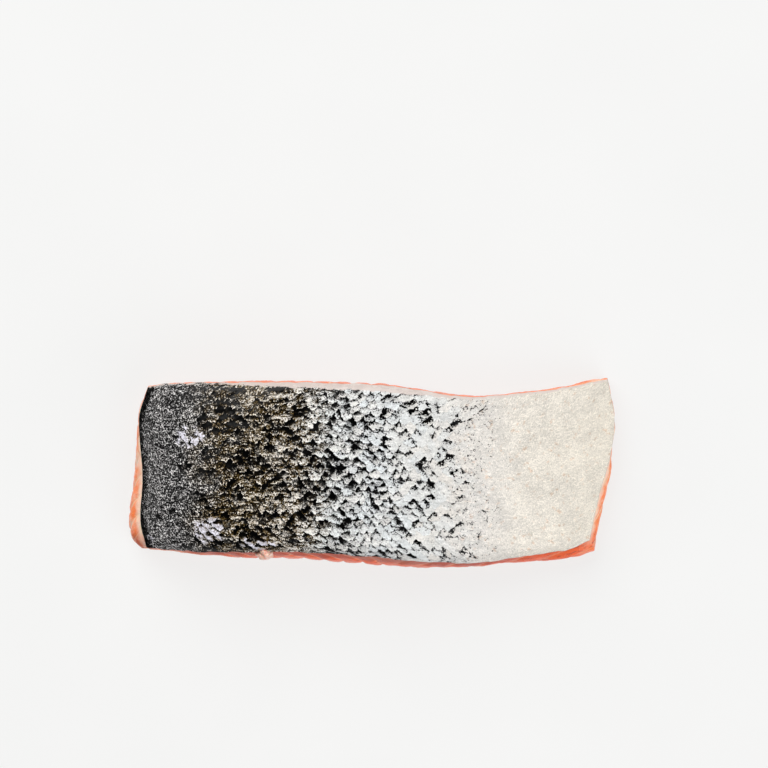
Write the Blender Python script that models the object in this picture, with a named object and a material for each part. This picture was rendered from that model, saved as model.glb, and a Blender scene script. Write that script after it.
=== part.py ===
"""A skin-on portion of salmon fillet, lying on its flesh side with the skin up.

The long way, X, runs across the fish from its back (-X, thick) to its belly (+X, thin).
The two long sides are knife cuts, and the skin wraps down over the rounded back end.
Z = 0 is the surface that the portion rests on. Sizes are written in millimetres and built in metres.
"""

import math

import bmesh
import bpy
from mathutils import Matrix, Vector

mm = 0.001

# Outline of the skin seen from above, as points along each edge.
front_edge = [(-62.2, -20.7), (-38, -21.5), (-24, -21.3), (-4, -22.4), (12, -23.9),
              (26, -24.7), (40, -23.1), (54, -21.3), (60.6, -18.6)]
rear_edge = [(-61.8, 23.4), (-56, 24.2), (-30, 24.6), (0, 24.0), (14, 22.2),
             (28, 20.5), (43, 21.8), (58, 24.0), (65.1, 25.4)]
back_edge = [(-62.2, -20.7), (-63.8, -13), (-63.2, -2), (-64.2, 14.5), (-61.8, 23.4)]
belly_edge = [(60.0, -18.4), (63.0, -5), (65.9, 4.8), (67.0, 13.5), (65.1, 25.4)]

# How far the flesh stands out beyond the skin, by the share of each edge's length.
front_ledge = [(0.0, 0.3), (0.25, 2.2), (0.45, 2.7), (0.6, 2.3), (0.73, 1.4), (0.88, 2.3), (1.0, 3.3)]
rear_ledge = [(0.0, 0.2), (0.5, 0.5), (0.9, 0.3), (0.97, 0.9), (1.0, 0.5)]
back_ledge = [(0.0, 1.8), (0.06, 3.9), (0.25, 3.6), (0.45, 2.7), (0.75, 0.8), (1.0, 0.2)]
belly_ledge = [(0.0, 1.7), (0.2, 2.3), (0.42, 1.9), (0.52, 0.5), (1.0, 0.2)]

# Thickness along the middle, by the distance from the back edge.
thickness = [(0, 11.5), (2.5, 16.0), (8, 20.6), (20, 24.4), (40, 26.5), (60, 25.8),
             (80, 22.8), (100, 18.0), (118, 12.6), (131.5, 7.0)]

crown = 1.0              # middle of the width above the two cuts
full_form = 20.0         # where the portion is thinner than this, its roundings shrink with it
front_round = 4.5        # reach and drop of the skin's fall to the front cut
front_drop = 3.0
rear_round = 2.2
rear_drop = 1.3
skin_waves = [(0.35, 46.0, 57.0), (0.18, -24.0, 33.0)]  # depth and length each way of slow dips

# From the base up to the skin: how much of its ledge the flesh stands out by.
level_bulge = [(0.0, 0.35), (0.12, 0.8), (0.35, 1.0), (0.7, 0.85), (0.9, 0.35), (1.0, 0.0)]
base_tuck = 1.0          # the underside's edge, drawn in from the flesh above it
tuck_sharpness = 8       # keeps that tuck to the rim of the underside
corner_reach = {"front": 0.06, "rear": 0.06, "back": 0.12, "belly": 0.12}

# The connective seam across the underside, which winds from cut to cut.
seam_place = 4.0
seam_wind = 1.6
seam_wind_length = 38.0
seam_width = 2.6
seam_depth = 0.9

# The flakes on the two cuts: nested chevrons that turn near the back end.
flake_pitch = 5.2
flake_relief = 0.45
flake_tip = -48.0
flake_centre_height = 11.0
flake_arch = 1.4

length_cells = 60
width_cells = 24
height_levels = [0.0, 0.07, 0.2, 0.38, 0.57, 0.75, 0.9, 1.0]
edge_crowding = 0.65     # how much closer together the cells lie at the edges
on_plane = 1e-6          # how near a corner of the block lies to one of its faces

flesh_look = {"colour": (0.80, 0.25, 0.13), "roughness": 0.4}
skin_look = {"colour": (0.36, 0.35, 0.33), "roughness": 0.35}
crease_angle = 50


def along(points, share):
    """A smooth curve through points, read at a share of its length from 0 to 1."""
    points = [Vector(point) for point in points]
    marks = [0.0]
    for before, after in zip(points, points[1:]):
        marks.append(marks[-1] + (after - before).length)
    return through([(mark / marks[-1], *point) for mark, point in zip(marks, points)], share)


def through(rows, at):
    """Read rows of (place, value, ...) at one place, with a cubic that never overshoots."""
    at = min(max(at, rows[0][0]), rows[-1][0])
    last = len(rows) - 1
    index = next((i for i in range(last) if at <= rows[i + 1][0]), last - 1)
    start, end = rows[index], rows[index + 1]
    step = end[0] - start[0]
    t = (at - start[0]) / step
    values = []
    for column in range(1, len(start)):
        slopes = [slope_at(rows, index + side, column) * step for side in (0, 1)]
        a, b = start[column], end[column]
        values.append(a * (1 + 2 * t) * (1 - t) ** 2 + b * (3 - 2 * t) * t ** 2
                      + slopes[0] * t * (1 - t) ** 2 - slopes[1] * t ** 2 * (1 - t))
    return Vector(values) if len(values) > 1 else values[0]


def slope_at(rows, index, column):
    """Slope of the curve at one row: none at a peak or a dip, so that it stays between its points."""
    def rise(i):
        return (rows[i + 1][column] - rows[i][column]) / (rows[i + 1][0] - rows[i][0])

    if index == 0:
        return rise(0)
    if index == len(rows) - 1:
        return rise(index - 1)
    before, after = rise(index - 1), rise(index)
    if before * after <= 0:
        return 0.0
    return 2 * before * after / (before + after)


def outline_point(side, share, bulge):
    """A point on one edge of the portion; bulge is 0 at the skin and 1 at the widest flesh."""
    edge, ledge, outward = {
        "front": (front_edge, front_ledge, Vector((0, -1))),
        "rear": (rear_edge, rear_ledge, Vector((0, 1))),
        "back": (back_edge, back_ledge, Vector((-1, 0))),
        "belly": (belly_edge, belly_ledge, Vector((1, 0))),
    }[side]
    return along(edge, share) + outward * through(ledge, share) * bulge


def corner(end, cut, bulge):
    """Where an end meets a cut; the back and the front come first on their edges."""
    on_end = outline_point(end, 0.0 if cut == "front" else 1.0, bulge)
    on_cut = outline_point(cut, 0.0 if end == "back" else 1.0, bulge)
    return Vector((on_end.x, on_cut.y))


def led_to_corners(side, share, bulge, first, last):
    """A point on one edge, whose two ends are led into the corners."""
    reach = corner_reach[side]
    to_first = first - outline_point(side, 0.0, bulge)
    to_last = last - outline_point(side, 1.0, bulge)
    near_first = max(0.0, 1 - share / reach)
    near_last = max(0.0, 1 - (1 - share) / reach)
    return outline_point(side, share, bulge) + to_first * near_first + to_last * near_last


def plan_point(u, v, bulge):
    """Blend the four edges: u runs from the back to the belly, v from the front cut to the rear one."""
    back_front, back_rear = corner("back", "front", bulge), corner("back", "rear", bulge)
    belly_front, belly_rear = corner("belly", "front", bulge), corner("belly", "rear", bulge)
    front = led_to_corners("front", u, bulge, back_front, belly_front)
    rear = led_to_corners("rear", u, bulge, back_rear, belly_rear)
    back = led_to_corners("back", v, bulge, back_front, back_rear)
    belly = led_to_corners("belly", v, bulge, belly_front, belly_rear)
    front_corners = (1 - u) * back_front + u * belly_front
    rear_corners = (1 - u) * back_rear + u * belly_rear
    return ((1 - v) * (front - front_corners) + v * (rear - rear_corners)
            + (1 - u) * back + u * belly)


def rounded_fall(distance, radius, drop):
    """How far a rounded edge has fallen at a distance inside it."""
    if distance >= radius:
        return 0.0
    return drop * (1 - math.sqrt(1 - (1 - distance / radius) ** 2))


def skin_height(u, v):
    """Height of the skin above the surface that the portion rests on."""
    place = plan_point(u, v, 0.0)
    from_back = (place - outline_point("back", v, 0.0)).length
    from_front = (place - outline_point("front", u, 0.0)).length
    from_rear = (place - outline_point("rear", u, 0.0)).length
    height = through(thickness, from_back)
    share = min(1.0, height / full_form) ** 2
    drop = crown * (1 - 4 * v * (1 - v))
    drop += rounded_fall(from_front, front_round, front_drop)
    drop += rounded_fall(from_rear, rear_round, rear_drop)
    for depth, wave_x, wave_y in skin_waves:
        drop += depth * math.sin(math.tau * (place.x / wave_x + place.y / wave_y))
    return height - share * drop


def seam_rise(place):
    """How far the underside rises into the seam."""
    middle = seam_place + seam_wind * math.sin(math.tau * place.y / seam_wind_length)
    return seam_depth * math.exp(-((place.x - middle) / seam_width) ** 2)


def flake_swell(place, height):
    """Swell of the flakes between the pale sheets that part them, from -1 to 1."""
    chevron = math.hypot(place.x - flake_tip, flake_arch * (height - flake_centre_height))
    return 2 * abs(math.sin(math.pi * (place.y + chevron) / flake_pitch)) - 1


def block_cells():
    """A unit block sliced into cells, closer together towards its edges."""
    def spread(cells):
        shares = [i / cells for i in range(cells + 1)]
        return [t + edge_crowding * (0.5 - 0.5 * math.cos(math.pi * t) - t) for t in shares]

    block = bmesh.new()
    bmesh.ops.create_cube(block, size=1.0, matrix=Matrix.Translation((0.5, 0.5, 0.5)))
    for axis, stations in enumerate((spread(length_cells), spread(width_cells), height_levels)):
        normal = Vector([float(axis == i) for i in range(3)])
        for station in stations[1:-1]:
            everything = block.verts[:] + block.edges[:] + block.faces[:]
            bmesh.ops.bisect_plane(block, geom=everything, dist=on_plane,
                                   plane_co=normal * station, plane_no=normal)
    return block


def shape_portion(block):
    """Move every corner of the sliced block to its place on the portion."""
    for vertex in block.verts:
        u, v, level = vertex.co
        place = plan_point(u, v, through(level_bulge, level))
        height = skin_height(u, v) * level
        if level == 0:
            centred = Vector((2 * u - 1, 2 * v - 1))
            nearness = max(abs(centred.x), abs(centred.y)) ** tuck_sharpness
            place -= base_tuck * nearness * centred
            height = seam_rise(place)
        elif level < 1 and min(v, 1 - v) < on_plane:
            place.y += (2 * v - 1) * flake_relief * flake_swell(place, height)
        vertex.co = Vector((place.x, place.y, height)) * mm


def finish(name, look):
    paint = bpy.data.materials.new(name)
    paint.use_nodes = True
    shader = paint.node_tree.nodes["Principled BSDF"]
    shader.inputs["Base Color"].default_value = (*look["colour"], 1.0)
    shader.inputs["Roughness"].default_value = look["roughness"]
    shader.inputs["Metallic"].default_value = 0.0
    return paint


def build():
    for old in list(bpy.data.objects):
        bpy.data.objects.remove(old, do_unlink=True)

    collection = bpy.data.collections.new("atlantic_salmon_portion")
    bpy.context.scene.collection.children.link(collection)

    block = block_cells()
    for face in block.faces:
        face.material_index = int(face.normal.z > 0.5)
    shape_portion(block)
    mesh = bpy.data.meshes.new("salmon_portion")
    block.to_mesh(mesh)
    block.free()
    mesh.materials.append(finish("salmon_flesh", flesh_look))
    mesh.materials.append(finish("salmon_skin", skin_look))
    mesh.shade_smooth()
    mesh.set_sharp_from_angle(angle=math.radians(crease_angle))
    collection.objects.link(bpy.data.objects.new("salmon_portion", mesh))


build()
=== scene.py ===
import math
from types import SimpleNamespace

import bpy
import numpy as np
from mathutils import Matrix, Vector


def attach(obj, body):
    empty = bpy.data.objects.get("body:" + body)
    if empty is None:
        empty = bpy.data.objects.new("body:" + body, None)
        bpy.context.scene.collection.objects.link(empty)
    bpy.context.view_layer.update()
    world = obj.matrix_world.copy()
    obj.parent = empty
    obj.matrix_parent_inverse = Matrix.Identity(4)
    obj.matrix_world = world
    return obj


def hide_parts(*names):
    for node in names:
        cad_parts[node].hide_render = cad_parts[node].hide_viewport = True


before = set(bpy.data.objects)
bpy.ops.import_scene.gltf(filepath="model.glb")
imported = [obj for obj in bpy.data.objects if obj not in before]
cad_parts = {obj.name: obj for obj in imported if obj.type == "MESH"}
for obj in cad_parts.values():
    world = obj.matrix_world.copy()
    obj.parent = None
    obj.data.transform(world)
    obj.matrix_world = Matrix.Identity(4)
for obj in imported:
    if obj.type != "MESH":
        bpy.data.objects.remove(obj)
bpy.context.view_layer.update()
mm = 0.001

# The portion's form, in millimetres: the same named sizes that the solid is built from.
portionForm = {
    "frontEdge": [(-62.2, -20.7), (-38, -21.5), (-24, -21.3), (-4, -22.4), (12, -23.9),
                  (26, -24.7), (40, -23.1), (54, -21.3), (60.6, -18.6)],
    "rearEdge": [(-61.8, 23.4), (-56, 24.2), (-30, 24.6), (0, 24.0), (14, 22.2),
                 (28, 20.5), (43, 21.8), (58, 24.0), (65.1, 25.4)],
    "backEdge": [(-62.2, -20.7), (-63.8, -13), (-63.2, -2), (-64.2, 14.5), (-61.8, 23.4)],
    "bellyEdge": [(60.0, -18.4), (63.0, -5), (65.9, 4.8), (67.0, 13.5), (65.1, 25.4)],
    "frontLedge": [(0.0, 0.3), (0.25, 2.2), (0.45, 2.7), (0.6, 2.3), (0.73, 1.4), (0.88, 2.3), (1.0, 3.3)],
    "rearLedge": [(0.0, 0.2), (0.5, 0.5), (0.9, 0.3), (0.97, 0.9), (1.0, 0.5)],
    "backLedge": [(0.0, 1.8), (0.06, 3.9), (0.25, 3.6), (0.45, 2.7), (0.75, 0.8), (1.0, 0.2)],
    "bellyLedge": [(0.0, 1.7), (0.2, 2.3), (0.42, 1.9), (0.52, 0.5), (1.0, 0.2)],
    "thickness": [(0, 11.5), (2.5, 16.0), (8, 20.6), (20, 24.4), (40, 26.5), (60, 25.8),
                  (80, 22.8), (100, 18.0), (118, 12.6), (131.5, 7.0)],
    "crown": 1.0,
    "fullForm": 20.0,  # where the portion is thinner than this, its roundings shrink with it
    "frontRound": 4.5,  # reach and drop of the skin's fall to the front cut
    "frontDrop": 3.0, "rearRound": 2.2, "rearDrop": 1.3,
    "skinWaves": [(0.35, 46.0, 57.0), (0.18, -24.0, 33.0)],
    # from the base up to the skin: how much of its ledge the flesh stands out by
    "levelBulge": [(0.0, 0.35), (0.12, 0.8), (0.35, 1.0), (0.7, 0.85), (0.9, 0.35), (1.0, 0.0)],
    "baseTuck": 1.0, "tuckSharpness": 8,
    "cornerReach": {"front": 0.06, "rear": 0.06, "back": 0.12, "belly": 0.12},
    "seamPlace": 4.0, "seamWind": 1.6, "seamWindLength": 38.0, "seamWidth": 2.6,
    "seamDepth": 0.9, "flakePitch": 5.2, "flakeTip": -48.0, "flakeCentreHeight": 11.0,
    "flakeArch": 1.4,
}
outward = {"front": (0, -1), "rear": (0, 1), "back": (-1, 0), "belly": (1, 0)}


def readCurve(rows, at):
    # a smooth curve through rows of (place, value, ...), which never overshoots them
    rows = np.array(rows, float)
    places, values = rows[:, 0], rows[:, 1:]
    steps = np.diff(places)
    rises = np.diff(values, axis=0) / steps[:, None]
    before, after = rises[:-1], rises[1:]
    steady = before * after > 0
    slopes = np.vstack([rises[:1], np.zeros_like(before), rises[-1:]])
    slopes[1:-1][steady] = 2 * before[steady] * after[steady] / (before[steady] + after[steady])
    at = np.clip(at, places[0], places[-1])
    index = np.clip(np.searchsorted(places, at) - 1, 0, len(steps) - 1)
    step = steps[index][..., None]
    t = (at - places[index])[..., None] / step
    result = values[index] * (1 + 2 * t) * (1 - t) ** 2 + values[index + 1] * (3 - 2 * t) * t ** 2
    result += step * t * (1 - t) * (slopes[index] * (1 - t) - slopes[index + 1] * t)
    return result if values.shape[1] > 1 else result[..., 0]


def outlinePoint(side, share, bulge):
    # a point on one edge: bulge is 0 at the skin and 1 at the widest flesh
    edge = np.array(portionForm[side + "Edge"], float)
    marks = np.concatenate([[0], np.cumsum(np.linalg.norm(np.diff(edge, axis=0), axis=1))])
    rows = np.column_stack([marks / marks[-1], edge])
    ledge = readCurve(portionForm[side + "Ledge"], share)
    return readCurve(rows, share) + np.array(outward[side]) * (ledge * bulge)[..., None]


def planPoint(u, v, bulge):
    # u runs from the back end to the belly end, v from the front cut to the rear one
    u, v, bulge = np.broadcast_arrays(u, v, bulge)
    first, last = np.zeros_like(u), np.ones_like(u)

    def corner(end, cut):
        onEnd = outlinePoint(end, first if cut == "front" else last, bulge)
        onCut = outlinePoint(cut, first if end == "back" else last, bulge)
        return np.stack([onEnd[..., 0], onCut[..., 1]], axis=-1)

    def ledToCorners(side, share, start, finish):
        reach = portionForm["cornerReach"][side]
        nearStart = np.maximum(0, 1 - share / reach)[..., None]
        nearFinish = np.maximum(0, 1 - (1 - share) / reach)[..., None]
        point = outlinePoint(side, share, bulge)
        point += (start - outlinePoint(side, first, bulge)) * nearStart
        return point + (finish - outlinePoint(side, last, bulge)) * nearFinish

    backFront, backRear = corner("back", "front"), corner("back", "rear")
    bellyFront, bellyRear = corner("belly", "front"), corner("belly", "rear")
    front = ledToCorners("front", u, backFront, bellyFront)
    rear = ledToCorners("rear", u, backRear, bellyRear)
    back = ledToCorners("back", v, backFront, backRear)
    belly = ledToCorners("belly", v, bellyFront, bellyRear)
    u, v = u[..., None], v[..., None]
    front -= (1 - u) * backFront + u * bellyFront
    rear -= (1 - u) * backRear + u * bellyRear
    return (1 - v) * front + v * rear + (1 - u) * back + u * belly


def edgeDistances(u, v):
    # how far a place on the skin lies from the edges that shape it
    u, v = np.broadcast_arrays(u, v)
    place, atSkin = planPoint(u, v, 0.0), np.zeros(u.shape)
    shares = {"front": u, "rear": u, "back": v}
    return {side: np.linalg.norm(place - outlinePoint(side, share, atSkin), axis=-1)
            for side, share in shares.items()}


def roundedFall(distance, radius, drop):
    inside = np.clip(1 - distance / radius, 0, 1)
    return drop * (1 - np.sqrt(1 - inside ** 2))


def skinHeight(u, v):
    form, place, away = portionForm, planPoint(u, v, 0.0), edgeDistances(u, v)
    height = readCurve(form["thickness"], away["back"])
    drop = form["crown"] * (1 - 4 * v * (1 - v))
    drop = drop + roundedFall(away["front"], form["frontRound"], form["frontDrop"])
    drop = drop + roundedFall(away["rear"], form["rearRound"], form["rearDrop"])
    for depth, waveX, waveY in form["skinWaves"]:
        drop = drop + depth * np.sin(math.tau * (place[..., 0] / waveX + place[..., 1] / waveY))
    return height - np.minimum(1, height / form["fullForm"]) ** 2 * drop


def softNoise(x, y, size, seed):
    # smooth unevenness between -1 and 1, with swells about as wide as size
    table = np.random.default_rng(seed).uniform(-1, 1, (256, 256))
    x, y = x / size, y / size
    column, row = np.floor(x).astype(int), np.floor(y).astype(int)
    tx, ty = x - column, y - row
    tx, ty = tx * tx * (3 - 2 * tx), ty * ty * (3 - 2 * ty)

    def knot(i, j):
        return table[(column + i) % 256, (row + j) % 256]

    near = knot(0, 0) * (1 - tx) + knot(1, 0) * tx
    far = knot(0, 1) * (1 - tx) + knot(1, 1) * tx
    return near * (1 - ty) + far * ty


def layeredNoise(x, y, layers):
    # noises on top of each other, from rows of (depth, size, seed)
    return sum(depth * softNoise(x, y, size, seed) for depth, size, seed in layers)


def evenStations(count):
    # stations along the length that lie evenly on the curved skin
    fine = np.linspace(0, 1, 2001)
    middle = np.full_like(fine, 0.5)
    line = np.column_stack([planPoint(fine, middle, 0.0), skinHeight(fine, middle)])
    run = np.concatenate([[0], np.cumsum(np.linalg.norm(np.diff(line, axis=0), axis=1))])
    return np.interp(np.linspace(0, run[-1], count), run, fine)


def rimLoop(countU, countV):
    # the border of a grid, anticlockwise from above: front, belly end, rear, back end
    front = [(i, 0) for i in range(countU)]
    belly = [(countU - 1, j) for j in range(1, countV)]
    rear = [(i, countV - 1) for i in range(countU - 2, -1, -1)]
    back = [(0, j) for j in range(countV - 2, 0, -1)]
    return np.array(front + belly + rear + back)


def loopNormals(points):
    # outward directions along a closed loop seen from above
    run = np.roll(points, -1, axis=0) - np.roll(points, 1, axis=0)
    normals = np.column_stack([run[:, 1], -run[:, 0]])
    return normals / np.linalg.norm(normals, axis=1)[:, None]


def middleLine(along, depth):
    # points below the middle of the skin, where the plain closing of a shell comes together
    along = along[1:-1]
    middle = np.full_like(along, 0.5)
    return np.column_stack([planPoint(along, middle, 0.0), skinHeight(along, middle) - depth])


# Both shells are laid out in a unit square for the bake: what shows below shownTop, the closing above it.
shownTop = 0.955
mapGap = 0.01


def shellFaces(countU, countV, ringCount):
    # a grid, rings that run from its border and a plain closing, and how many face corners come before it
    loop = rimLoop(countU, countV)
    ringSize, gridSize = len(loop), countU * countV
    i, j = np.meshgrid(np.arange(countU - 1), np.arange(countV - 1), indexing="ij")
    corner = i * countV + j
    quads = [np.stack([corner, corner + countV, corner + countV + 1, corner + 1], axis=-1).reshape(-1, 4)]
    upper = loop[:, 0] * countV + loop[:, 1]
    for ring in range(ringCount):
        lower = gridSize + ring * ringSize + np.arange(ringSize)
        quads.append(np.column_stack([upper, lower, np.roll(lower, -1), np.roll(upper, -1)]))
        upper = lower
    shownCorners = 4 * sum(len(part) for part in quads)
    hub = gridSize + ringCount * ringSize + np.arange(countU - 2)
    rearStart = countU + countV - 1
    frontRow = upper[1:countU - 1]
    rearRow = upper[rearStart:rearStart + countU - 2][::-1]
    quads.append(np.column_stack([frontRow[:-1], hub[:-1], hub[1:], frontRow[1:]]))
    quads.append(np.column_stack([hub[:-1], rearRow[:-1], rearRow[1:], hub[1:]]))
    roundBack = np.concatenate([upper[:2][::-1], upper[rearStart + countU - 2:][::-1], rearRow[:1]])
    roundBelly = upper[countU - 2:countU + countV][::-1]
    fans = [np.column_stack([np.full(len(path) - 1, middle), path[:-1], path[1:]])
            for middle, path in ((hub[0], roundBack), (hub[-1], roundBelly))]
    return np.vstack(quads).tolist() + np.vstack(fans).tolist(), shownCorners


def shellPiece(name, grid, rings, spine, faceUp, pointValues, pointMaps):
    # a closed body with a value and a map place for each point that shows
    points = np.vstack([grid.reshape(-1, 3), rings.reshape(-1, 3), spine]) * mm
    faces, shownCorners = shellFaces(*grid.shape[:2], len(rings))
    if not faceUp:
        faces = [face[::-1] for face in faces]
    piece = newPiece(name, points, faces)
    mesh = piece.data
    for key, values in pointValues.items():
        values = np.concatenate([values, np.zeros(len(points) - len(values))])
        mesh.attributes.new(key, "FLOAT", "POINT").data.foreach_set("value", values.astype(np.float32))

    cornerPoints = np.empty(len(mesh.loops), int)
    mesh.loops.foreach_get("vertex_index", cornerPoints)
    low, high = points.min(axis=0), points.max(axis=0)
    behindTop = shownTop + mapGap
    behind = ((points - low) / (high - low))[:, :2] * (1.0, 1 - behindTop) + (0.0, behindTop)
    for key, values in pointMaps.items():
        values = np.vstack([values, np.zeros((len(points) - len(values), 2))])[cornerPoints]
        if key == "OFBake":
            values[:, 1] *= shownTop
            values[shownCorners:] = behind[cornerPoints[shownCorners:]]
        mesh.uv_layers.new(name=key).data.foreach_set("uv", values.astype(np.float32).ravel())
    return piece


def linked(data, place=(0, 0, 0)):
    holder = bpy.data.objects.new(data.name, data)
    holder.location = Vector(place) * mm
    bpy.context.scene.collection.objects.link(holder)
    return holder


def newPiece(name, points, faces):
    mesh = bpy.data.meshes.new(name)
    mesh.from_pydata(points.tolist(), [], faces)
    mesh.shade_smooth()
    return linked(mesh)


def bakeMap(shareU, shareV, loop, ringCount, margin):
    # the grid in the middle of a unit square, and the rings in the margins round it
    low, high = np.array(margin), 1 - np.array(margin)
    inner = np.stack(np.broadcast_arrays(shareU[:, None], shareV[None, :]), axis=-1)
    inner = low + (high - low) * inner
    rim = inner[loop[:, 0], loop[:, 1]]
    side = np.where(np.isclose(rim, low), -1.0, np.where(np.isclose(rim, high), 1.0, 0.0))
    rings = [rim + side * low * (ring + 1) / ringCount for ring in range(ringCount)]
    return np.vstack([inner.reshape(-1, 2)] + rings)


class Field:
    # one socket in a material, used as a value in sums
    def __init__(self, recipe, socket):
        self.recipe, self.socket = recipe, socket

    def maths(self, operation, *values):
        return self.recipe.maths(operation, self, *values)

    def __add__(self, other):
        return self.maths("ADD", other)

    def __sub__(self, other):
        return self.maths("SUBTRACT", other)

    def __rsub__(self, other):
        return self.recipe.maths("SUBTRACT", other, self)

    def __mul__(self, other):
        return self.maths("MULTIPLY", other)

    def __truediv__(self, other):
        return self.maths("DIVIDE", other)

    def __pow__(self, other):
        return self.maths("POWER", other)

    __radd__, __rmul__ = __add__, __mul__

    def held(self):
        # kept between 0 and 1
        return self.recipe.maths("MULTIPLY", self, 1.0, clamp=True)


class Recipe:
    # the nodes of a material or of the world, and the look that they take their values from
    def __init__(self, name, look, owner=None):
        self.owner, self.look = owner or bpy.data.materials.new(name), look
        self.owner.use_nodes = True
        self.tree = self.owner.node_tree
        self.tree.nodes.clear()
        self.paint = {key: shown(*colour) for key, colour in look["colours"].items()}

    def add(self, kind, settings=None, sockets=None, output=0):
        # in a socket, a name stands for a colour of the look
        node = self.tree.nodes.new(kind)
        for key, value in (settings or {}).items():
            if key == "stops":
                self.setStops(node.color_ramp, value)
            else:
                setattr(node, key, value)
        for key, value in (sockets or {}).items():
            if isinstance(value, Field):
                self.tree.links.new(value.socket, node.inputs[key])
            else:
                node.inputs[key].default_value = self.paint[value] if isinstance(value, str) else value
        return Field(self, node.outputs[output]) if len(node.outputs) else node

    def setStops(self, ramp, stops):
        while len(ramp.elements) < len(stops):
            ramp.elements.new(1.0)
        for element, (place, colour) in zip(ramp.elements, stops):
            element.position = place
            element.color = colour

    def value(self, key):
        return self.add("ShaderNodeAttribute", {"attribute_name": key}, output=2)

    def map(self, key):
        return self.add("ShaderNodeUVMap", {"uv_map": key})

    def place(self):
        # where the point lies on the portion, in millimetres
        where = self.add("ShaderNodeTexCoord", output=3)
        return self.add("ShaderNodeVectorMath", {"operation": "SCALE"}, {0: where, "Scale": 1000.0})

    def maths(self, operation, *values, clamp=False):
        settings = {"operation": operation, "use_clamp": clamp}
        return self.add("ShaderNodeMath", settings, dict(enumerate(values)))

    def strongest(self, first, *others):
        for other in others:
            first = self.maths("MAXIMUM", first, other)
        return first

    def mix(self, amount, first, second, blend="MIX"):
        return self.add("ShaderNodeMix", {"data_type": "RGBA", "blend_type": blend},
                        {0: amount, 6: first, 7: second}, output=2)

    def colourZones(self, rows):
        # a colour that changes along the portion, from rows of (millimetres, colour)
        low, high = rows[0][0], rows[-1][0]
        stops = [((place - low) / (high - low), colour) for place, colour in rows]
        return self.add("ShaderNodeValToRGB", {"stops": stops}, {0: (self.x - low) / (high - low)})

    def tints(self, key):
        return self.colourZones([(place, shown(*colour)) for place, colour in self.look[key]])

    def zone(self, key):
        # the same for a value
        rows = self.look[key]
        peak = max(value for place, value in rows)
        return self.colourZones([(place, (*[value / peak] * 3, 1.0)) for place, value in rows]) * peak

    def along(self, key):
        # 0 before an effect starts along the portion, 1 where it is full
        return self.step(self.x, *self.look[key])

    def step(self, value, low, high):
        # 0 at low, 1 at high, and smooth between them
        return self.add("ShaderNodeMapRange", {"interpolation_type": "SMOOTHSTEP"},
                        {0: value, 1: low, 2: high, 3: 0.0, 4: 1.0})

    def stretched(self, where, amounts):
        return self.add("ShaderNodeVectorMath", {"operation": "MULTIPLY"}, {0: where, 1: amounts})

    def shifted(self, where, x, y):
        return self.add("ShaderNodeVectorMath", {"operation": "ADD"}, {0: where, 1: self.vector(x, y)})

    def noise(self, where, scale, detail, rough=0.5, stretch=None, dimensions="3D"):
        # noise from about -1 to 1
        if stretch:
            where = self.stretched(where, stretch)
        grain = self.add("ShaderNodeTexNoise", {"noise_dimensions": dimensions},
                         {"Vector": where, "Scale": scale, "Detail": detail, "Roughness": rough})
        return (grain - 0.5) * 4.0

    def noises(self, where, key, dimensions="3D"):
        rows = self.look[key].items()
        return {name: self.noise(where, *row, dimensions=dimensions) for name, row in rows}

    def cracks(self, where, scale, stretch, width):
        # 1 on thin lines between cells, and 0 inside them
        gap = self.add("ShaderNodeTexVoronoi", {"voronoi_dimensions": "2D", "feature": "DISTANCE_TO_EDGE"},
                       {"Vector": self.stretched(where, stretch), "Scale": scale})
        return self.step(gap, width, width * 0.2)

    def vector(self, x, y, z=0.0):
        return self.add("ShaderNodeCombineXYZ", None, {0: x, 1: y, 2: z})

    def parts(self, vector):
        node = self.add("ShaderNodeSeparateXYZ", None, {0: vector}).socket.node
        return [Field(self, output) for output in node.outputs]

    def bump(self, height):
        strength, depth = self.look["bump"]
        sockets = {"Strength": strength, "Distance": depth * mm, "Height": height}
        return self.add("ShaderNodeBump", None, sockets)

    def finish(self, piece, sockets):
        shader = self.add("ShaderNodeBsdfPrincipled", None, sockets | self.look["finish"])
        self.add("ShaderNodeOutputMaterial", None, {"Surface": shader})
        piece.data.materials.clear()
        piece.data.materials.append(self.owner)


def shown(red, green, blue):
    # a colour as a screen shows it, from 0 to 255, turned into the light that a shader wants
    return tuple((part / 255) ** 2.2 for part in (red, green, blue)) + (1.0,)


# The skin: a sheet with its scales in relief, and the pale layer that shows at its cut edge.
skinForm = {
    "stationsAlong": 400, "stationsAcross": 156, "scaleWidth": 3.0, "scaleRow": 1.9,
    "scaleArc": 0.62,  # how far a scale's edge bows, in rows
    # depth, size and seed of each layer of unevenness
    "wanderAlong": [(0.4, 9.0, 11), (0.24, 3.4, 12)],
    "wanderAcross": [(0.4, 9.0, 31), (0.24, 3.4, 32)],
    "grain": [(0.03, 0.55, 31), (0.06, 2.2, 32)],
    "fray": [(0.16, 1.6, 33), (0.16, 4.5, 34)],
    "frayReach": 1.5,
    "frayStart": 3.0,  # the skin frays from this far off the back edge
    "scaleRelief": [(-66, 0.03), (-45, 0.05), (-20, 0.05), (15, 0.05), (35, 0.03), (67, 0.02)],
    "calmReach": 2.0,  # the relief falls to its calm share this near to a cut
    "calmShare": 0.25,
    "edgeProfile": [(0.06, 0.04), (0.14, 0.14), (0.22, 0.36), (0.28, 0.7), (0.3, 1.1), (0.05, 1.5),
        (-0.9, 1.9)],
    "underside": 2.0, "rimMargin": (0.01, 0.03),
}


def scaleLift(a, b, arc):
    # overlapping scales: 1 at each scale's free edge, falling to 0 where the next one covers it
    row = np.floor(b) + 1
    share = (a + 0.5 * row) % 1
    margin = row - arc * 4 * share * (1 - share)
    lowShare = (share + 0.5) % 1
    lowMargin = row - 1 - arc * 4 * lowShare * (1 - lowShare)
    above = b - np.where(b >= margin, margin, lowMargin)
    return 1 - above / (1 + arc)


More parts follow.
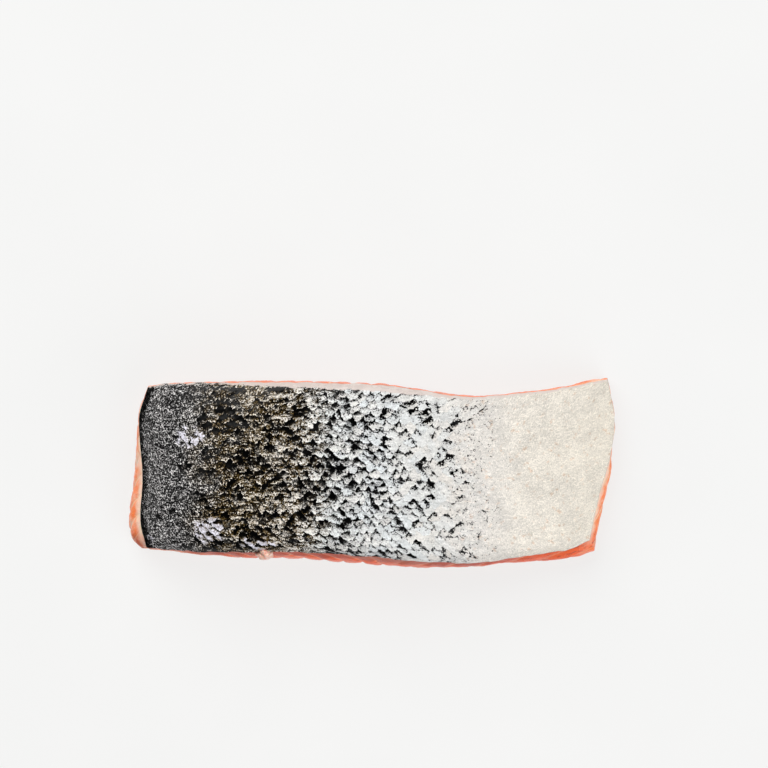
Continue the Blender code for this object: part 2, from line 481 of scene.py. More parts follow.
def surfaceRun(grid, axis):
    # distance along the surface from the first row or column
    steps = np.linalg.norm(np.diff(grid, axis=axis), axis=2)
    run = np.cumsum(steps, axis=axis)
    return np.concatenate([np.zeros_like(np.take(run, [0], axis=axis)), run], axis=axis)


def skinSurface(along, across):
    # the grid in relief, each point's distances from the edges, its run on the surface and its scale lines
    form = skinForm
    u, v = np.meshgrid(along, across, indexing="ij")
    away = edgeDistances(u, v)
    grid = np.dstack([planPoint(u, v, 0.0), skinHeight(u, v)])
    runAlong, runAcross = surfaceRun(grid, 0), surfaceRun(grid, 1)
    lineA = runAlong / form["scaleWidth"] + layeredNoise(runAlong, runAcross, form["wanderAlong"])
    lineB = runAcross / form["scaleRow"] + layeredNoise(runAlong, runAcross, form["wanderAcross"])

    normals = np.cross(np.gradient(grid, axis=0), np.gradient(grid, axis=1))
    normals /= np.linalg.norm(normals, axis=2)[..., None]
    calm = np.clip(np.minimum(away["front"], away["rear"]) / form["calmReach"], form["calmShare"], 1)
    relief = readCurve(form["scaleRelief"], grid[..., 0]) * (scaleLift(lineA, lineB, form["scaleArc"]) - 0.5)
    relief += layeredNoise(runAlong, runAcross, form["grain"])
    grid += normals * (relief * calm)[..., None]
    fray = layeredNoise(runAlong, 0 * runAcross, form["fray"])
    fray *= np.minimum(1, away["back"] / form["frayStart"])
    grid[..., 1] -= fray * np.exp(-away["front"] / form["frayReach"])
    grid[..., 1] += fray * np.exp(-away["rear"] / form["frayReach"])
    return grid, away, np.dstack([runAlong, runAcross]), np.dstack([lineA, lineB])


def makeSkin():
    form = skinForm
    along, across = evenStations(form["stationsAlong"]), np.linspace(0, 1, form["stationsAcross"])
    grid, away, runs, lines = skinSurface(along, across)
    loop = rimLoop(*grid.shape[:2])
    rim = grid[loop[:, 0], loop[:, 1]]
    out = loopNormals(rim[:, :2])
    rings = np.array([np.column_stack([rim[:, :2] + out * reach, rim[:, 2] - drop])
                      for reach, drop in form["edgeProfile"]])

    rimDepths = [drop for reach, drop in form["edgeProfile"]]
    pointValues = {"rim": np.concatenate([np.zeros(grid[..., 0].size), np.repeat(rimDepths, len(loop))])}
    for side in ("front", "rear", "back"):
        atRim = away[side][loop[:, 0], loop[:, 1]]
        pointValues["from" + side.title()] = np.concatenate([away[side].ravel(), np.tile(atRim, len(rings))])
    pointMaps = {}
    scaleSize = form["scaleWidth"], form["scaleRow"]
    for key, pair, unit in (("surfaceMm", runs, 1.0), ("scaleLines", lines, scaleSize)):
        atRim = pair[loop[:, 0], loop[:, 1]]
        beyond = [atRim + out / unit * depth for depth in rimDepths]
        pointMaps[key] = np.vstack([pair.reshape(-1, 2)] + beyond)
    middleRun = runs[:, len(across) // 2, 0]
    pointMaps["OFBake"] = bakeMap(middleRun / middleRun[-1], across, loop, len(rings), form["rimMargin"])
    spine = middleLine(along, form["underside"])
    return shellPiece("salmon_skin", grid, rings, spine, True, pointValues, pointMaps)


# The flesh: the cut sides and the underside, with the flakes and the pale sheets between them.
fleshForm = {
    "stationsAlong": 321, "stationsAcross": 122, "levels": 34,
    "skinRoom": 0.9,  # the flesh ends this far below the skin's own edge
    "lineDepth": 0.22,  # groove along each pale sheet
    "lineWidth": 0.4,
    "swell": 0.16,  # swell of each flake between its sheets
    "swellReach": 1.5, "underLift": 0.05,
    # depth, size and seed of each layer of unevenness
    "underRelief": [(0.05, 0.5, 43)],
    "sideRelief": [(0.22, 5.5, 41), (0.12, 2.1, 42), (0.05, 0.5, 44)],
    "sheetWander": [(0.9, 9.0, 51), (0.35, 3.1, 52)],
    # how far a pattern moves along for each millimetre of height
    "wanderLean": 0.4, "bellyLean": 0.55, "dentLean": 0.37, "fibreLean": 1.4,
    "bellyPitch": 5.6, "bellySlope": 0.78,
    "tuckRows": 0.09,  # share of the height in which the sides tuck in to the base
    "topFade": 0.12,  # share of the height in which the relief fades out below the skin
    "turnIn": [(0.9, 0.25), (2.6, 0.8)],
    "underside": 3.2, "rimMargin": (0.14, 0.25),
}


def seamMiddle(y):
    form = portionForm
    return form["seamPlace"] + form["seamWind"] * np.sin(math.tau * y / form["seamWindLength"])


def flakeCounts(x, y, z):
    # how many flakes lie between here and the tip, before and beyond the seam: whole numbers are pale sheets
    form, whole = fleshForm, portionForm
    wander = layeredNoise(x + form["wanderLean"] * z, y + z, form["sheetWander"])
    chevron = np.hypot(x - whole["flakeTip"], whole["flakeArch"] * (z - whole["flakeCentreHeight"]))
    backFlakes = (y + chevron + wander) / whole["flakePitch"]
    slope = form["bellySlope"]
    bellyRun = (y - slope * x + form["bellyLean"] * z + wander) / math.hypot(1, slope)
    return backFlakes, bellyRun / form["bellyPitch"]


def sheetGroove(x, y, z):
    # distance in millimetres from the nearest pale sheet, and the groove along it
    counts = np.where(x < seamMiddle(y), *flakeCounts(x, y, z))
    off = (0.5 - np.abs(counts % 1 - 0.5)) * portionForm["flakePitch"]
    return off, fleshForm["lineDepth"] * np.exp(-(off / fleshForm["lineWidth"]) ** 2)


def fleshUnderside(u, v):
    form, whole = fleshForm, portionForm
    plan = planPoint(u, v, np.full_like(u, whole["levelBulge"][0][1]))
    centred = np.dstack([2 * u - 1, 2 * v - 1])
    nearness = np.abs(centred).max(axis=2) ** whole["tuckSharpness"]
    plan -= whole["baseTuck"] * nearness[..., None] * centred
    x, y = plan[..., 0], plan[..., 1]
    off, rise = sheetGroove(x, y, 0 * x)
    rise += whole["seamDepth"] * np.exp(-((x - seamMiddle(y)) / whole["seamWidth"]) ** 2) * (1 - nearness)
    rise += form["underLift"] + layeredNoise(x + y, x - y, form["underRelief"])
    return np.dstack([plan, rise * (1 - nearness)])


def fleshSides(rimU, rimV, rimHeight):
    # rings from the base up to the skin, and the last ones turn in below it
    form, whole = fleshForm, portionForm
    rings = []
    for level in np.linspace(0, 1, form["levels"])[1:]:
        bulge = float(readCurve(whole["levelBulge"], np.array(level)))
        points, height = planPoint(rimU, rimV, np.full_like(rimU, bulge)), rimHeight * level
        x, y = points.T
        off, groove = sheetGroove(x, y, height)
        push = form["swell"] * (2 * np.minimum(off, form["swellReach"]) / form["swellReach"] - 1) - groove
        push += layeredNoise(x + form["dentLean"] * height, y + height, form["sideRelief"])
        push *= min(1.0, (1 - level) / form["topFade"])
        push -= whole["baseTuck"] * max(0.0, 1 - level / form["tuckRows"]) ** 2
        rings.append(np.column_stack([points + loopNormals(points) * push[:, None], height]))
    top, out = rings[-1], loopNormals(rings[-1][:, :2])
    rings += [np.column_stack([top[:, :2] - out * reach, top[:, 2] - drop]) for reach, drop in form["turnIn"]]
    return np.array(rings)


def makeFlesh():
    form, whole = fleshForm, portionForm
    along, across = np.linspace(0, 1, form["stationsAlong"]), np.linspace(0, 1, form["stationsAcross"])
    u, v = np.meshgrid(along, across, indexing="ij")
    loop = rimLoop(*u.shape)
    rimU, rimV = along[loop[:, 0]], across[loop[:, 1]]
    rimSkin = skinHeight(rimU, rimV)
    grid, rings = fleshUnderside(u, v), fleshSides(rimU, rimV, rimSkin - form["skinRoom"])

    x, y, z = np.vstack([grid.reshape(-1, 3), rings.reshape(-1, 3)]).T
    backFlakes, bellyFlakes = flakeCounts(x, y, z)
    seamSide = x - seamMiddle(y)
    under, beside = skinHeight(u, v) - grid[..., 2], rimSkin - rings[..., 2]
    pointValues = {"backFlakes": backFlakes, "bellyFlakes": bellyFlakes, "seamSide": seamSide,
                   "fromSkin": np.concatenate([under.ravel(), beside.ravel()])}
    acrossFibres = np.where(seamSide < 0, backFlakes, bellyFlakes) * whole["flakePitch"]
    alongFibres = np.where((x < whole["flakeTip"]) | (seamSide > 0), -x, x) - y + form["fibreLean"] * z
    pointMaps = {"fibreMm": np.column_stack([acrossFibres, alongFibres / math.sqrt(2)]),
                 "OFBake": bakeMap(along, across, loop, len(rings), form["rimMargin"])}
    spine = middleLine(along, form["underside"])
    return shellPiece("salmon_flesh", grid, rings, spine, False, pointValues, pointMaps)


skinLook = {
    # along the portion from its back end, in millimetres: brightness as seen, where the rise 59 mm back from
    # the middle is a painted sheen on the skin's slope down to the back end, and how deep the grain is
    "tone": [(-66, 0.25), (-59, 0.31), (-52, 0.23), (-42, 0.24), (-33, 0.305), (-26, 0.385), (-20, 0.53),
        (-15, 0.66), (-8, 0.765), (0, 0.825), (11, 0.85), (24, 0.855), (35, 0.842), (66, 0.832)],
    "grain": [(-66, 0.95), (-52, 1.0), (-41, 0.8), (-26, 0.74), (-14, 0.6), (-2, 0.4), (10, 0.28),
        (20, 0.2), (30, 0.15), (66, 0.11)],
    # how unlike each other the scales and the long flakes are, and how far the tone is pushed to its ends
    "scaleSpread": [(-66, 0.05), (-50, 0.1), (-38, 0.15), (-28, 0.24), (-16, 0.26), (-5, 0.12), (10, 0.06),
        (30, 0.02), (66, 0.0)],
    "flakeSpread": [(-66, 0.1), (-50, 0.2), (-38, 0.3), (-28, 0.4), (-16, 0.4), (-5, 0.2), (10, 0.1),
        (30, 0.04), (66, 0.02)],
    "crispness": [(-66, 0.0), (-45, 0.2), (-30, 0.5), (-10, 0.75), (15, 0.6), (30, 0.2), (40, 0.0),
        (66, 0.0)],
    # share of the scales with black pigment, the level that loose specks have to pass, and the margins' lines
    "inkShare": [(-66, 0.12), (-52, 0.35), (-43, 0.95), (-28, 1.2), (-16, 1.2), (-6, 1.12), (6, 1.0),
        (18, 0.54), (27, 0.26), (34, 0.09), (42, 0.0), (66, 0.0)],
    "specks": [(-66, 0.9), (-42, 0.8), (-26, 0.75), (-8, 0.82), (10, 0.72), (20, 0.52), (26, 0.34),
        (31, 0.42), (37, 0.8), (46, 1.45), (66, 1.75)],
    "marginLine": [(-66, 0.1), (-45, 0.15), (-22, 0.3), (-5, 0.6), (5, 0.65), (20, 0.6), (32, 0.3),
        (40, 0.0), (66, 0.0)],
    # painted highlight on the scales' free edges, and width of the pale layer along the rear cut
    "crestHighlight": [(-66, 0.15), (-45, 0.42), (-20, 0.5), (-5, 0.15), (20, 0.05), (34, 0.0), (66, 0.0)],
    "cutStrip": [(-66, 0.1), (-40, 0.2), (-33, 0.7), (-22, 1.3), (2, 1.6), (14, 1.1), (24, 0.5), (66, 0.3)],
    "tint": [(-66, (255, 251, 251)), (-52, (255, 251, 249)), (-42, (255, 247, 236)), (-33, (255, 245, 230)),
        (-22, (255, 248, 238)), (-12, (254, 254, 250)), (2, (254, 255, 253)), (15, (255, 254, 249)),
        (30, (255, 249, 241)), (42, (255, 247, 234)), (66, (255, 246, 230))],
    # the black colour serves both the pigment and the painted shade along the back edge
    "colours": {"brown": (255, 208, 118), "stain": (240, 216, 198), "coolScale": (238, 246, 255),
                "warmScale": (255, 246, 240), "lavender": (248, 244, 255), "ink": (6, 6, 6),
                "cutEdge": (210, 196, 189), "fleck": (120, 96, 84), "frontEdge": (112, 78, 70)},
    # where an effect starts and where it is full, along the portion
    "scalesFrom": (-48, -30), "coarseFrom": (34, 8), "inkFrom": (38, 28),
    "largeInkFrom": (-30, -14), "brownFrom": (-52, -40), "brownUntil": (-6, -20),
    "hueFrom": (-22, -6), "hueUntil": (34, 20), "stainFrom": (18, 30), "flecksFrom": (6, -6),
    "hueDepth": 0.4, "stainDepth": 0.7,
    "zoneWander": 2.2,  # how far the borders between the zones wander, in millimetres
    "inkSize": (0.33, 0.9, 0.11),  # least size of a pigment spot in rows, its spread, and its growth
    "shadeBandEdge": (1.5, 0.5),  # the painted shade band, black where the skin falls steeply away at the back end, ends this far from the back edge
    "shadeBandCorners": (11, 21),  # and is wider from the first to the second distance off the middle
    "shadeBandGrowth": 1.2,
    # middle and reach, in millimetres, of the patches with whitish scales
    "palePatches": [((-44.5, -15.5), (4.6, 4.0)), ((-49.5, 9.8), (4.2, 3.4)), ((-31.0, -19.0), (5.0, 2.2)),
        ((-61.5, -18.2), (1.4, 1.4))],
    # scale, detail, roughness and stretch of each noise, straight and turned to the weave of the back
    "noises": {
        "swell": (0.13, 2.0),
        "blotch": (0.55, 3.0, 0.6),
        "grit": (1.15, 3.0, 0.75),
        "fine": (2.4, 2.0, 0.6),
        "flat": (1.0, 2.0, 0.6, (0.5, 1.5, 1.0)),
        "flakes": (1.0, 3.0, 0.65, (0.24, 0.62, 1.0)),
    },
    "turnedNoises": {
        "twill": (1.0, 2.0, 0.6, (0.45, 1.5, 1.0)),
        "otherTwill": (1.0, 2.0, 0.6, (1.4, 0.45, 1.0)),
        "drift": (0.5, 2.0, 0.55),
    },
    "turn": 0.9, "roughness": 0.23, "coat": 0.28,
    "bump": (0.3, 0.1),  # strength, and depth in millimetres
    "finish": {"Specular IOR Level": 0.0, "Coat Roughness": 0.24},
}


def skinGround(recipe):
    # the places and noises that everything on the skin is made from
    surface, angle = recipe.map("surfaceMm"), skinLook["turn"]
    turned = recipe.add("ShaderNodeVectorRotate", {"rotation_type": "Z_AXIS"}, {0: surface, "Angle": angle})
    trueX, y = recipe.parts(recipe.place())[:2]
    base = SimpleNamespace(surface=surface, turned=turned, trueX=trueX, y=y,
                             **recipe.noises(surface, "noises", "2D"),
                             **recipe.noises(turned, "turnedNoises", "2D"))
    recipe.x = trueX + base.swell * skinLook["zoneWander"]
    base.scaly = recipe.along("scalesFrom")
    return base


def skinScales(recipe, base):
    # on the scale that shows here: how far below the one above, how far above its own edge, side and chances
    lines = recipe.shifted(recipe.map("scaleLines"), base.grit * 0.08 + base.blotch * 0.14,
                           base.fine * 0.13 + base.drift * 0.2)
    a, b = recipe.parts(lines)[:2]
    dip = 4 * skinForm["scaleArc"]
    row = b.maths("FLOOR") + 1.0
    share = (a + row * 0.5).maths("FRACT")
    otherShare = (share + 0.5).maths("FRACT")
    margin = row - share * (1.0 - share) * dip
    otherDip = otherShare * (1.0 - otherShare) * dip
    isUpper = recipe.maths("GREATER_THAN", b, margin)

    def pick(upper, lower):
        return lower + (upper - lower) * isUpper

    ownRow = row - 1.0 + isUpper
    column = (a + ownRow * 0.5).maths("FLOOR")
    chances = recipe.parts(recipe.add("ShaderNodeTexWhiteNoise", {"noise_dimensions": "2D"},
                                      {"Vector": recipe.vector(column, ownRow)}, output=1))
    return SimpleNamespace(below=pick(row + 1.0 - otherDip, margin) - b,
                           above=b - pick(margin, row - 1.0 - otherDip),
                           side=pick(share, otherShare) - 0.5 + (chances[2] - 0.5) * 0.35,
                           shade=chances[0], pigment=chances[1], hue=chances[2])


def skinMottle(recipe, base):
    # the grain: a leathery weave on the back, flatter strokes and pale lines where the scales show
    scaly, grit, fine, flat, twill = base.scaly, base.grit, base.fine, base.flat, base.twill
    coarse = recipe.along("coarseFrom") * 0.6 + 0.4
    weave = (twill * 0.28 + base.otherTwill * 0.14) * (1.0 - scaly * 0.7)
    mottle = (grit * (scaly * 0.2 + 0.28) + weave + flat * (scaly * 0.28 + 0.1)) * coarse
    mottle = mottle + fine * (0.88 - scaly * 0.23)
    darkPlace = recipe.shifted(base.turned, grit * 0.35, fine * 0.25)
    palePlace = recipe.shifted(base.surface, base.blotch * 0.3, grit * 0.3)
    darkLines = recipe.cracks(darkPlace, 1.0, (0.7, 1.25, 1.0), 0.13)
    paleLines = recipe.cracks(palePlace, 0.6, (0.8, 1.2, 1.0), 0.1)
    leather = 1.0 - scaly * 0.65
    mottle = mottle * (1.0 - leather * 0.22) - darkLines * recipe.step(twill, -0.6, 0.2) * leather * 0.42
    mottle = mottle + paleLines * recipe.step(flat + twill * 0.4, -0.2, 0.3) * 0.5
    return mottle * recipe.zone("grain")


def skinTone(recipe, base, scale):
    # brightness of the skin before any pigment, with a painted sheen near the back end and painted highlights
    # on the scales' free edges
    fine = base.fine
    tone = recipe.zone("tone") + base.swell * 0.03 + skinMottle(recipe, base)
    tone = tone + (recipe.step(scale.shade, 0.3, 0.8) - 0.5) * recipe.zone("scaleSpread")
    flakes = recipe.step(base.flakes + fine * 0.3, -0.35, 0.45)
    tone = tone + (flakes - 0.5) * recipe.zone("flakeSpread")
    crisp = recipe.step(tone, 0.28, 0.72) * 0.69 + 0.15
    tone = tone + (crisp - tone) * recipe.zone("crispness")
    # painted highlight: lighter skin along each scale's free edge
    crestHighlight = ((0.2 - scale.above + fine * 0.15) * 6.0).held() * recipe.zone("crestHighlight")
    return tone + crestHighlight * recipe.step(base.flat + base.otherTwill * 0.6, -0.2, 0.5)


def skinPigment(recipe, base, scale):
    # black in the notch above each scale, thin dark lines along the margins, and loose specks
    grit, fine, blotch, below = base.grit, base.fine, base.blotch, scale.below
    least, spread, growth = skinLook["inkSize"]
    present = ((recipe.zone("inkShare") - scale.pigment + blotch * 0.25) * 4.0).held()
    present = present * recipe.along("inkFrom")
    size = (1.0 - scale.shade) ** 2.0 * spread + least + recipe.along("largeInkFrom") * growth
    size = size * present * (scale.side * scale.side * -6.0).maths("EXPONENT")
    ragged = grit * 0.38 + fine * 0.26 + base.flat * 0.2
    blot = ((size - below + ragged * present - 0.06) * 13.0).held()
    gaps = recipe.step(grit + base.twill * 0.7, -0.35, 0.25)
    line = ((0.14 - below + fine * 0.08) * 9.0).held() * recipe.zone("marginLine") * gaps
    specks = ((grit * 0.7 + fine * 0.6 + blotch * 0.3 - recipe.zone("specks")) * 4.0).held()
    return recipe.strongest(blot, line, specks).held()


def skinPatches(recipe, base, scale):
    # patches where whitish scales still cover the dark back
    patches = []
    for (middleX, middleY), (reachX, reachY) in skinLook["palePatches"]:
        far = recipe.maths("POWER", (base.trueX - middleX) / reachX, 2.0)
        far = far + recipe.maths("POWER", (base.y - middleY) / reachY, 2.0)
        patches.append(recipe.step(far + base.blotch * 0.4, 1.3, 0.5))
    flake = ((0.8 - scale.above + base.fine * 0.2 + base.flat * 0.2) * 5.0).held()
    flake = flake * recipe.step(scale.side.maths("ABSOLUTE"), 0.55, 0.3) * recipe.step(scale.hue, 0.2, 0.4)
    return (recipe.strongest(*patches) * flake).held()


def skinColour(recipe, base, scale, tone, patches):
    blotch = base.blotch
    tint = recipe.mix(patches, recipe.tints("tint"), "lavender")
    brownness = recipe.step(blotch + base.swell * 0.6, -0.8, 0.4) * recipe.along("brownFrom")
    brownness = brownness * recipe.along("brownUntil") * recipe.step(tone, 0.8, 0.45)
    tint = recipe.mix(brownness, tint, "brown")
    light = tone.maths("MAXIMUM", 0.02).maths("MINIMUM", 0.95) ** 2.2
    colour = recipe.mix(1.0, recipe.vector(light, light, light), tint, "MULTIPLY")

    stain = recipe.step(base.drift + blotch * 0.6 - base.grit * 0.3, 0.5, 1.3)
    stain = stain * recipe.along("stainFrom") * skinLook["stainDepth"]
    colour = recipe.mix(stain, colour, recipe.mix(1.0, colour, "stain", "MULTIPLY"))
    hue = recipe.mix(scale.hue, "coolScale", "warmScale")
    hueDepth = recipe.along("hueFrom") * recipe.along("hueUntil") * skinLook["hueDepth"]
    return recipe.mix(hueDepth, colour, recipe.mix(1.0, colour, hue, "MULTIPLY"))


def skinEdges(recipe, base, colour):
    # the pale layer under the skin shows along the rear cut and on the skin's own edge
    grit, fine = base.grit, base.fine
    strip = recipe.zone("cutStrip") - recipe.value("fromRear") + base.blotch * 0.3 + fine * 0.12
    cut = (strip * 3.5).held()
    flecks = recipe.step(grit + fine * 0.5, 0.9, 1.2) * 0.8 * cut * recipe.along("flecksFrom")
    colour = recipe.mix(cut * 0.9, colour, recipe.mix(flecks, "cutEdge", "fleck"))
    edge = recipe.step(recipe.value("rim") + fine * 0.1, 0.35, 0.7)
    atFront = recipe.step(recipe.value("fromFront"), 2.0, 1.0)
    return recipe.mix(edge, colour, recipe.mix(atFront, "cutEdge", "frontEdge"))


def dressSkin(piece):
    look, recipe = skinLook, Recipe("salmon_skin", skinLook)
    base = skinGround(recipe)
    scale = skinScales(recipe, base)
    patches = skinPatches(recipe, base, scale)
    tone = skinTone(recipe, base, scale)
    tone = tone + (tone * 0.35 + 0.74 - tone) * patches
    colour = skinColour(recipe, base, scale, tone, patches)

    ink = (skinPigment(recipe, base, scale) - patches * 0.8).held()
    # painted shade: black along the back edge, where the skin falls steeply away from the light, joined to
    # the black pigment
    atCorners = recipe.step(base.y.maths("ABSOLUTE"), *look["shadeBandCorners"])
    fromBack = recipe.value("fromBack") + base.grit * 1.5 + base.blotch * 0.8
    backShadeBand = recipe.step(fromBack - atCorners * look["shadeBandGrowth"], *look["shadeBandEdge"])
    ink = recipe.strongest(ink, backShadeBand * 0.95)
    colour = skinEdges(recipe, base, recipe.mix(ink, colour, "ink"))

    height = base.grit * 0.5 + base.fine * 0.35 + base.twill * 0.3 - ink * 0.3
    rough = (base.fine * 0.03 + look["roughness"]).held()
    recipe.finish(piece, {"Base Color": colour, "Roughness": rough, "Normal": recipe.bump(height),
                          "Coat Weight": (1.0 - backShadeBand) * look["coat"]})


fleshLook = {
    "colours": {"deep": (250, 118, 60), "plain": (252, 134, 78), "bloom": (255, 174, 124),
                "sheet": (255, 204, 164), "streak": (150, 52, 38), "brown": (176, 96, 74),
                "fat": (255, 220, 196), "tissue": (250, 232, 222), "blood": (196, 52, 40)},
    # the cut below the skin's front edge, along the portion
    "frontCut": [(-66, (252, 140, 84)), (-50, (222, 118, 88)), (-38, (218, 98, 68)), (-18, (238, 100, 60)),
        (4, (236, 102, 64)), (26, (224, 94, 60)), (38, (226, 90, 52)), (48, (232, 92, 46)),
        (58, (240, 102, 54)), (68, (252, 140, 84))],
    # where each part starts and where it is full, in millimetres along, across or up
    "underFrom": (2.5, 0.8), "frontFrom": (-15, -19), "rearFrom": (15, 19), "ribbonFrom": (46, 30),
    "ribbonDepth": (5.0, 3.4), "brownFrom": (16, 4), "brownDepth": (5.5, 2.2),
    "backEndFrom": (-52, -61), "bellyEndFrom": (56, 64), "fatDepth": (2.6, 1.4),
    "seamFrom": (1.5, 0.5),
    "rearShare": 0.45,  # how much of the front cut's darker meat the rear cut has
    # scale, detail, roughness and stretch of each noise
    "noises": {"swell": (0.12, 2.0), "blotch": (0.45, 3.0, 0.6), "speck": (3.2, 2.0, 0.6)},
    "fibreNoises": {
        "strokes": (1.0, 2.0, 0.6, (0.45, 2.3, 1.0)),
        "fineStrokes": (1.0, 2.0, 0.6, (1.1, 5.5, 1.0)),
    },
    "roughness": 0.36, "bump": (0.5, 0.15),
    "finish": {"Specular IOR Level": 0.15, "Coat Weight": 0.22, "Coat Roughness": 0.2,
               "Subsurface Weight": 0.3, "Subsurface Scale": 2.0 * mm, "Subsurface Radius": (1.0, 0.35, 0.2)},
}


def fleshGround(recipe):
    # the places and noises that everything on the flesh is made from
    look, place = fleshLook, recipe.place()
    recipe.x, y, z = recipe.parts(place)
    base = SimpleNamespace(y=y, z=z, fromSkin=recipe.value("fromSkin"), seamSide=recipe.value("seamSide"),
                             **recipe.noises(place, "noises"),
                             **recipe.noises(recipe.map("fibreMm"), "fibreNoises", "2D"))
    base.isUnder = recipe.step(z, *look["underFrom"])
    base.isFront = recipe.step(y, *look["frontFrom"]) * (1.0 - base.isUnder)
    base.isRear = recipe.step(y, *look["rearFrom"]) * (1.0 - base.isUnder)
    return base


def offSheets(recipe, base):
    # distance from the nearest pale sheet between two flakes
    beyond = recipe.maths("GREATER_THAN", base.seamSide, 0.0)
    counts = recipe.value("backFlakes") * (1.0 - beyond) + recipe.value("bellyFlakes") * beyond
    return ((counts + 0.5).maths("FRACT") - 0.5).maths("ABSOLUTE") * portionForm["flakePitch"]


def frontCutColour(recipe, base, bloom):
    # darker meat with long streaks, and a dark ribbon under the skin
    streaks = recipe.noise(recipe.vector(recipe.x * 0.12, base.z * 0.9, base.y * 0.9), 1.0, 3.0, 0.6)
    colour = recipe.mix(bloom * 0.2, recipe.tints("frontCut"), "bloom")
    ribbon = recipe.step(base.fromSkin + streaks * 1.5, *fleshLook["ribbonDepth"])
    dark = recipe.strongest(recipe.step(streaks, 0.15, 0.8), ribbon * recipe.along("ribbonFrom"))
    colour = recipe.mix(dark * 0.7, colour, "streak")
    return recipe.mix(recipe.step(streaks, -0.35, -0.9) * 0.5, colour, "bloom")


def fatAndMuscle(recipe, base, colour):
    # brown muscle and a pale fatty layer under the skin, and the fatty ends
    look, blotch, fromSkin = fleshLook, base.blotch, base.fromSkin
    nearSeam = recipe.step(base.seamSide.maths("ABSOLUTE") + blotch, *look["brownFrom"])
    brown = recipe.step(fromSkin + blotch * 0.6, *look["brownDepth"]) * nearSeam * 0.75
    colour = recipe.mix(brown, colour, "brown")
    ends = recipe.strongest(recipe.along("backEndFrom"), recipe.along("bellyEndFrom"))
    share = ends * 0.6 + 0.3 * (1.0 - base.isFront)
    layer = recipe.step(fromSkin + blotch * 0.3, *look["fatDepth"]) * share
    fattyEnd = ends * recipe.step(base.swell + blotch * 0.5 + base.z * 0.06, 0.2, 1.4) * 0.7
    return recipe.mix(recipe.strongest(layer, fattyEnd).held(), colour, "fat")


def seamColour(recipe, base, colour):
    # the seam across the underside: white tissue with red pits
    blotch, speck = base.blotch, base.speck
    onSeam = recipe.step(base.seamSide.maths("ABSOLUTE") + blotch * 0.8, *fleshLook["seamFrom"])
    blobs = recipe.step(blotch + speck * 0.35, -0.5, 0.5)
    pits = recipe.step(blotch * 0.7 + speck * 0.4, -0.75, -1.25)
    tissue = recipe.mix(pits, "tissue", "blood")
    return recipe.mix(onSeam * base.isUnder * (blobs * 0.75 + 0.2), colour, tissue)


def dressFlesh(piece):
    look, recipe = fleshLook, Recipe("salmon_flesh", fleshLook)
    base = fleshGround(recipe)
    blotch, speck, strokes, fineStrokes = base.blotch, base.speck, base.strokes, base.fineStrokes
    off = offSheets(recipe, base)
    sheet = recipe.step(off + speck * 0.06 + blotch * 0.08, 0.36, 0.12)
    halo = recipe.step(off + strokes * 0.5, 1.6, 0.3)
    bloom = ((strokes * 0.5 + fineStrokes * 0.35 + halo * 0.55 - 0.1) * 0.7).held()

    colour = recipe.mix((blotch * 0.4 + base.swell * 0.4 + 0.45).held(), "plain", "deep")
    colour = recipe.mix(bloom, colour, "bloom")
    frontCut = frontCutColour(recipe, base, bloom)
    colour = recipe.mix(base.isFront + base.isRear * look["rearShare"], colour, frontCut)
    colour = recipe.mix(sheet * (0.85 - base.isFront * 0.65), colour, "sheet")
    colour = fatAndMuscle(recipe, base, colour)
    colour = seamColour(recipe, base, colour)

    height = strokes * 0.5 + fineStrokes * 0.4 + speck * 0.25 - sheet * 0.6
    rough = (speck * 0.05 + look["roughness"] - sheet * 0.06).held()
    recipe.finish(piece, {"Base Color": colour, "Roughness": rough, "Normal": recipe.bump(height)})


# A shred of pale fat that hangs at the front cut.
shredLook = {
    "middle": (-29.0, -22.1, 20.8), "reach": (2.1, 1.3, 2.6),
    "lumps": [(0.38, 1.5, 71), (0.2, 0.6, 72)],
    "lumpReach": 2.3, "meridians": 64, "parallels": 33,
    "colours": {"pale": (240, 206, 190), "pink": (226, 160, 136)},
    "bump": (0.4, 0.2),
    "finish": {"Roughness": 0.35, "Coat Weight": 0.3, "Subsurface Weight": 0.3, "Subsurface Scale": 1.5 * mm},
}


def makeShred():
    # a lumpy ball: rows of points from pole to pole, then the two poles
    look = shredLook
    turn, lift = np.meshgrid(np.linspace(0, math.tau, look["meridians"], endpoint=False),
                             np.linspace(0, math.pi, look["parallels"])[1:-1], indexing="ij")
    way = np.stack([np.cos(turn) * np.sin(lift), np.sin(turn) * np.sin(lift), np.cos(lift)], axis=-1)
    way = np.vstack([way.reshape(-1, 3), [[0.0, 0.0, 1.0], [0.0, 0.0, -1.0]]])
    size = np.ones(len(way))
    for depth, width, seed in look["lumps"]:
        across, up = look["lumpReach"] * way[:, 0] + 9 * width, look["lumpReach"] * (way[:, 1] + way[:, 2])
        size += depth * softNoise(across, up, width, seed)
    points = (np.array(look["middle"]) + way * np.array(look["reach"]) * size[:, None]) * mm
    rows = look["parallels"] - 2
    column, row = np.meshgrid(np.arange(look["meridians"]), np.arange(rows - 1), indexing="ij")
    following = (column + 1) % look["meridians"] * rows
    here, there = column * rows + row, following + row
    quads = np.stack([here, here + 1, there + 1, there], axis=-1).reshape(-1, 4).tolist()
    first, after = column[:, 0] * rows, following[:, 0]
    top = np.column_stack([np.full_like(first, len(way) - 2), first, after]).tolist()
    bottom = np.column_stack([np.full_like(first, len(way) - 1), after + rows - 1, first + rows - 1]).tolist()
    return newPiece("fat_shred", points, quads + top + bottom)


def dressShred(piece):
    recipe = Recipe("fat_shred", shredLook)
    place = recipe.place()
    colour = recipe.mix((recipe.noise(place, 0.9, 3.0) * 0.6 + 0.4).held(), "pale", "pink")
    recipe.finish(piece, {"Base Color": colour, "Normal": recipe.bump(recipe.noise(place, 2.5, 2.0))})


